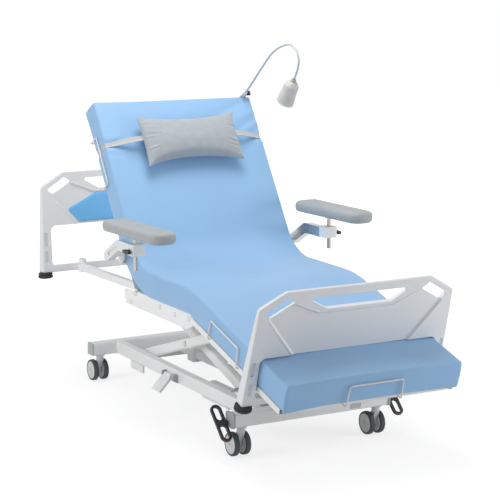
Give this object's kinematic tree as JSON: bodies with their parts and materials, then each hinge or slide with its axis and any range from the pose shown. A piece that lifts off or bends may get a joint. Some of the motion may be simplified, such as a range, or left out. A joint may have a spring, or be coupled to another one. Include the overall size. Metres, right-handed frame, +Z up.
{
  "type": "dialysis bed",
  "caption": "Height-adjustable dialysis bed on twin-wheel castors with a scissor lift, raised backrest, lowered leg section, end boards, swing armrests and a reading lamp.",
  "frame": {"origin": "on the floor, under the middle of the overall length and width", "axes": "+Z up, +Y towards the head end, +X to the right of someone who stands at the foot end and faces the bed"},
  "size_m": [1.1131, 2.3111, 1.6073],
  "materials": {
    "white_frame": "satin powder coat",
    "light_grey_steel": "satin powder coat",
    "dark_tray": "satin powder coat",
    "zinc_steel": "zinc plated",
    "board_plastic": "fine grain",
    "insert_blue": "satin",
    "mattress_blue": "smooth coated cloth",
    "pillow_grey": "smooth coated cloth",
    "pad_grey": "smooth coated cloth",
    "black_rubber": "matt",
    "castor_grey": "satin",
    "castor_tyre": "matt",
    "black_plastic": "satin",
    "chrome_post": "polished",
    "arm_alloy": "polished casting",
    "keeper_wire": "cream coat",
    "lamp_shade": "satin",
    "lamp_neck": "satin",
    "lamp_lens": "frosted",
    "cap_grey": "fine grain",
    "actuator_grey": "fine grain"
  },
  "bodies": {
    "base": {"base_head_beam": "white_frame", "base_foot_beam": "white_frame", "base_rails": "white_frame", "beam_end_caps": "cap_grey", "base_lift_mounts": "light_grey_steel", "base_deck": "dark_tray", "lift_actuator": "actuator_grey", "step_bracket": "black_plastic"},
    "brake": {"brake_shaft": "zinc_steel", "brake_pedals": "black_plastic"},
    "step": {"step_pedal": "white_frame"},
    "outer": {"outer_arms": "white_frame", "outer_arm_shafts": "zinc_steel"},
    "inner": {"inner_arms": "white_frame", "inner_arm_shaft": "zinc_steel"},
    "lift_rod": {"lift_actuator_rod": "zinc_steel"},
    "chassis": {"seat_side_right": "white_frame", "seat_side_left": "white_frame", "chassis_frame": "white_frame", "chassis_lift_mounts": "light_grey_steel", "iv_sockets": "white_frame", "plate_bolts": "zinc_steel", "seat_platform": "white_frame", "seat_mattress": "mattress_blue", "headboard": "board_plastic", "headboard_insert": "insert_blue", "head_bumpers": "black_rubber"},
    "back": {"backrest_frame": "white_frame", "backrest_platform": "white_frame", "back_mattress": "mattress_blue", "back_wires": "keeper_wire", "pillow": "pillow_grey", "pillow_strap": "pillow_grey", "lamp_bracket": "zinc_steel"},
    "lamp": {"lamp_neck": "lamp_neck"},
    "lamp_head": {"lamp_shade": "lamp_shade", "lamp_lens": "lamp_lens"},
    "lamp_screw": {"lamp_knob": "black_plastic"},
    "leg": {"leg_frame": "white_frame", "leg_platform": "white_frame", "leg_mattress": "mattress_blue", "leg_wires": "keeper_wire", "footboard": "board_plastic", "foot_bumpers": "black_rubber"},
    "castor_head_left": {"castor_fork_head_left": "castor_grey"},
    "wheels_head_left": {"castor_wheels_head_left": "castor_tyre"},
    "castor_head_right": {"castor_fork_head_right": "castor_grey"},
    "wheels_head_right": {"castor_wheels_head_right": "castor_tyre"},
    "castor_foot_left": {"castor_fork_foot_left": "castor_grey"},
    "wheels_foot_left": {"castor_wheels_foot_left": "castor_tyre"},
    "castor_foot_right": {"castor_fork_foot_right": "castor_grey"},
    "wheels_foot_right": {"castor_wheels_foot_right": "castor_tyre"},
    "arm_left": {"arm_lever_left": "arm_alloy"},
    "post_left": {"arm_post_left": "chrome_post"},
    "pad_left": {"arm_pad_left": "pad_grey"},
    "knob_left": {"arm_knob_left": "black_plastic"},
    "arm_right": {"arm_lever_right": "arm_alloy"},
    "post_right": {"arm_post_right": "chrome_post"},
    "pad_right": {"arm_pad_right": "pad_grey"},
    "knob_right": {"arm_knob_right": "black_plastic"}
  },
  "joints": [
    {"name": "lift", "type": "hinge", "parent": "base", "child": "outer", "pos_m": [0, 0.486, 0.17], "axis": [-1, 0, 0], "range_deg": [-7.5, 17.2]},
    {"name": "scissor_cross", "type": "hinge", "parent": "outer", "child": "inner", "pos_m": [0, 0.08896, 0.29747], "axis": [-1, 0, 0], "range_deg": [-34.4, 15]},
    {"name": "chassis_level", "type": "hinge", "parent": "inner", "child": "chassis", "pos_m": [0, 0.486, 0.42495], "axis": [-1, 0, 0], "range_deg": [-7.5, 17.2]},
    {"name": "lift_rod_eye", "type": "hinge", "parent": "inner", "child": "lift_rod", "pos_m": [0, -0.30808, 0.17], "axis": [-1, 0, 0], "range_deg": [-7.5, 17.2]},
    {"name": "backrest", "type": "hinge", "parent": "chassis", "child": "back", "pos_m": [0, 0.2, 0.523], "axis": [1, 0, 0], "range_deg": [-57.2, 13]},
    {"name": "legrest", "type": "hinge", "parent": "chassis", "child": "leg", "pos_m": [0, -0.358, 0.526], "axis": [-1, 0, 0], "range_deg": [-7, 16.3]},
    {"name": "swivel_head_left", "type": "hinge", "parent": "base", "child": "castor_head_left", "pos_m": [-0.323, 0.731, 0.13], "axis": [0, 0, 1], "continuous": true},
    {"name": "roll_head_left", "type": "hinge", "parent": "castor_head_left", "child": "wheels_head_left", "pos_m": [-0.323, 0.757, 0.05], "axis": [1, 0, 0], "continuous": true},
    {"name": "swivel_head_right", "type": "hinge", "parent": "base", "child": "castor_head_right", "pos_m": [0.323, 0.731, 0.13], "axis": [0, 0, 1], "continuous": true},
    {"name": "roll_head_right", "type": "hinge", "parent": "castor_head_right", "child": "wheels_head_right", "pos_m": [0.323, 0.757, 0.05], "axis": [1, 0, 0], "continuous": true},
    {"name": "swivel_foot_left", "type": "hinge", "parent": "base", "child": "castor_foot_left", "pos_m": [-0.323, -0.663, 0.13], "axis": [0, 0, 1], "continuous": true},
    {"name": "roll_foot_left", "type": "hinge", "parent": "castor_foot_left", "child": "wheels_foot_left", "pos_m": [-0.323, -0.637, 0.05], "axis": [1, 0, 0], "continuous": true},
    {"name": "swivel_foot_right", "type": "hinge", "parent": "base", "child": "castor_foot_right", "pos_m": [0.323, -0.663, 0.13], "axis": [0, 0, 1], "continuous": true},
    {"name": "roll_foot_right", "type": "hinge", "parent": "castor_foot_right", "child": "wheels_foot_right", "pos_m": [0.323, -0.637, 0.05], "axis": [1, 0, 0], "continuous": true},
    {"name": "brake_rocker", "type": "hinge", "parent": "base", "child": "brake", "pos_m": [0, -0.656, 0.149], "axis": [-1, 0, 0], "range_deg": [0, 72]},
    {"name": "step_press", "type": "hinge", "parent": "base", "child": "step", "pos_m": [-0.259, 0.124, 0.156], "axis": [0, -1, 0], "range_deg": [0, 18], "stiffness_Nm_per_rad": 5, "springref_deg": -11.46},
    {"name": "armrest_swing_left", "type": "hinge", "parent": "back", "child": "arm_left", "pos_m": [-0.47, 0.27, 0.69], "axis": [-1, 0, 0], "range_deg": [-8, 70]},
    {"name": "armrest_height_left", "type": "slide", "parent": "arm_left", "child": "post_left", "axis": [0, 0, 1], "range_m": [-0.02, 0.05]},
    {"name": "pad_swivel_left", "type": "hinge", "parent": "post_left", "child": "pad_left", "pos_m": [-0.482, -0.02, 0.82], "axis": [0, 0, 1], "range_deg": [-40, 40]},
    {"name": "clamp_screw_left", "type": "hinge", "parent": "arm_left", "child": "knob_left", "pos_m": [-0.52, -0.02, 0.757], "axis": [-1, 0, 0], "range_deg": [-180, 180]},
    {"name": "armrest_swing_right", "type": "hinge", "parent": "back", "child": "arm_right", "pos_m": [0.47, 0.27, 0.69], "axis": [-1, 0, 0], "range_deg": [-8, 70]},
    {"name": "armrest_height_right", "type": "slide", "parent": "arm_right", "child": "post_right", "axis": [0, 0, 1], "range_m": [-0.034, 0.036]},
    {"name": "pad_swivel_right", "type": "hinge", "parent": "post_right", "child": "pad_right", "pos_m": [0.482, -0.02, 0.834], "axis": [0, 0, -1], "range_deg": [-40, 40]},
    {"name": "clamp_screw_right", "type": "hinge", "parent": "arm_right", "child": "knob_right", "pos_m": [0.52, -0.02, 0.757], "axis": [1, 0, 0], "range_deg": [-180, 180]},
    {"name": "lamp_turn", "type": "hinge", "parent": "back", "child": "lamp", "pos_m": [0.364, 0.5578, 1.34587], "axis": [0, -0.8406, 0.5417], "range_deg": [-60, 60]},
    {"name": "lamp_tilt", "type": "hinge", "parent": "lamp", "child": "lamp_head", "pos_m": [0.33, 0.04029, 1.4474], "axis": [1, 0, 0], "range_deg": [-20, 20]},
    {"name": "lamp_clamp", "type": "hinge", "parent": "back", "child": "lamp_screw", "pos_m": [0.384, 0.5578, 1.34587], "axis": [1, 0, 0], "range_deg": [-180, 180]}
  ],
  "couplings": [
    {"joint": "scissor_cross", "follows": "lift", "ratio": -2},
    {"joint": "chassis_level", "follows": "lift", "ratio": 1},
    {"joint": "lift_rod_eye", "follows": "lift", "ratio": 1}
  ]
}
